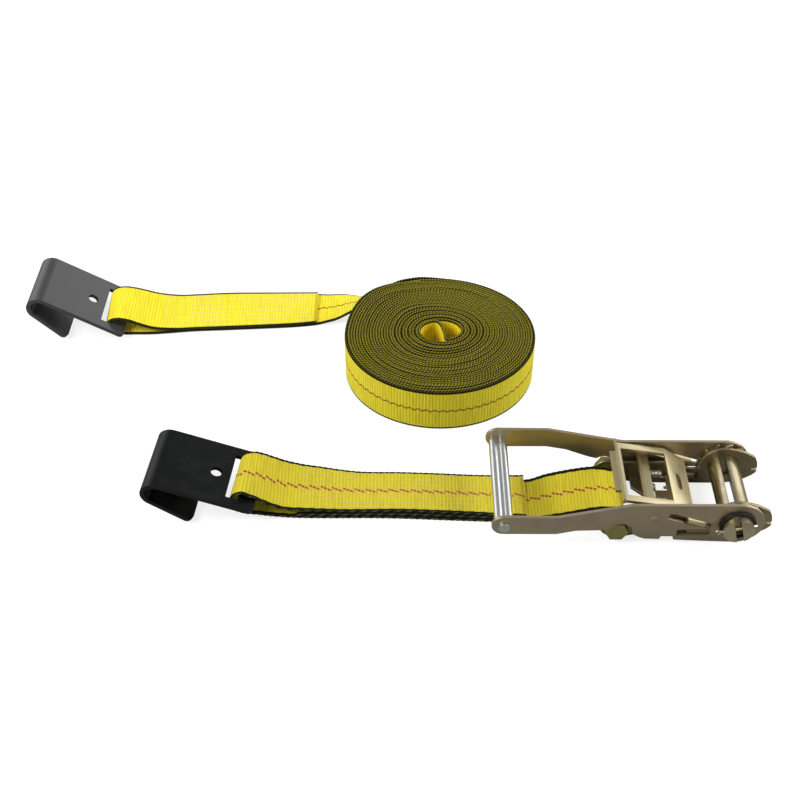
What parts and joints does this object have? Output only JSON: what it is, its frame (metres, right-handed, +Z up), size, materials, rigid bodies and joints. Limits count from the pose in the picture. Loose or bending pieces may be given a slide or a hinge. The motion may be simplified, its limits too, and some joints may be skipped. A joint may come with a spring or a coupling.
{
  "type": "ratchet tie down",
  "caption": "Ratchet tie down: short sewn strap with a ratchet and flat hook, beside a long coiled strap with a matching flat hook.",
  "frame": {"origin": "on the spindle axis, midway between the ratchet's side plates, at the centre of the web slot", "axes": "+X from the hooks towards the spindle end, +Y towards the coiled strap, +Z up; the set rests on z = -25 mm"},
  "size_m": [0.7442, 0.3786, 0.0576],
  "materials": {
    "frame_steel": "zinc-yellow plated steel, satin",
    "handle_steel": "zinc-yellow plated steel, satin",
    "pawl_steel": "pale plated steel",
    "wheel_steel": "plated steel",
    "spindle_steel": "turned plated steel",
    "bolt_steel": "zinc-yellow plated steel",
    "spring_steel": "plain spring steel",
    "grip_metal": "satin",
    "pin_steel": "plain steel",
    "dark_washer": "dark oxide",
    "black_hook": "semi-gloss black",
    "grey_hook": "semi-gloss black, worn grey",
    "yellow_web": "woven polyester with black selvage",
    "coiled_web": "woven polyester with black selvage"
  },
  "bodies": {
    "ratchet_frame": {"frame_plate_near": "frame_steel", "frame_plate_far": "frame_steel", "frame_spring_plate": "frame_steel", "anchor_bolt": "bolt_steel", "anchor_nut": "bolt_steel", "anchor_washers": "bolt_steel", "anchor_sleeve": "bolt_steel", "lock_pawl_springs": "spring_steel"},
    "handle": {"handle_plate_near": "handle_steel", "handle_plate_far": "handle_steel", "handle_grip": "grip_metal", "grip_rivets": "bolt_steel", "handle_spring_plate": "pawl_steel", "drive_pawl_springs": "spring_steel"},
    "spindle": {"spindle_half_front": "spindle_steel", "spindle_half_rear": "spindle_steel", "ratchet_wheel_near": "wheel_steel", "ratchet_wheel_far": "wheel_steel", "spindle_washers": "dark_washer", "cotter_pin_near": "pin_steel", "cotter_pin_far": "pin_steel"},
    "drive_pawl": {"drive_pawl": "pawl_steel"},
    "lock_pawl": {"lock_pawl": "pawl_steel"},
    "short_strap": {"short_webbing": "yellow_web"},
    "short_hook": {"short_hook": "black_hook"},
    "long_strap": {"long_webbing_roll": "coiled_web", "long_webbing_tail": "yellow_web"},
    "long_hook": {"long_hook": "grey_hook"}
  },
  "joints": [
    {"name": "handle_hinge", "type": "hinge", "parent": "ratchet_frame", "child": "handle", "pos_m": [0, 0, 0], "axis": [0, 1, 0], "range_deg": [0, 180]},
    {"name": "spindle_turn", "type": "hinge", "parent": "ratchet_frame", "child": "spindle", "pos_m": [0, 0, 0], "axis": [0, 1, 0], "continuous": true},
    {"name": "drive_pawl_slide", "type": "slide", "parent": "handle", "child": "drive_pawl", "axis": [-0.9403, 0, 0.3404], "range_m": [-0.005, 0.008]},
    {"name": "lock_pawl_slide", "type": "slide", "parent": "ratchet_frame", "child": "lock_pawl", "axis": [-1, 0, 0], "range_m": [0, 0.007]},
    {"name": "short_strap_swing", "type": "hinge", "parent": "ratchet_frame", "child": "short_strap", "pos_m": [-0.11, 0, -0.0095], "axis": [0, 1, 0], "range_deg": [-75, 0]},
    {"name": "short_hook_swing", "type": "hinge", "parent": "short_strap", "child": "short_hook", "pos_m": [-0.4512, 0.0101, -0.0001], "axis": [0.1071, 0.9942, 0], "range_deg": [0, 30]},
    {"name": "long_strap_lift", "type": "slide", "parent": "ratchet_frame", "child": "long_strap", "axis": [0, 0, 1], "range_m": [0, 0.3]},
    {"name": "long_hook_swing", "type": "hinge", "parent": "long_strap", "child": "long_hook", "pos_m": [-0.6175, 0.2769, -0.0136], "axis": [0.029, 0.9996, 0], "range_deg": [0, 60]}
  ]
}
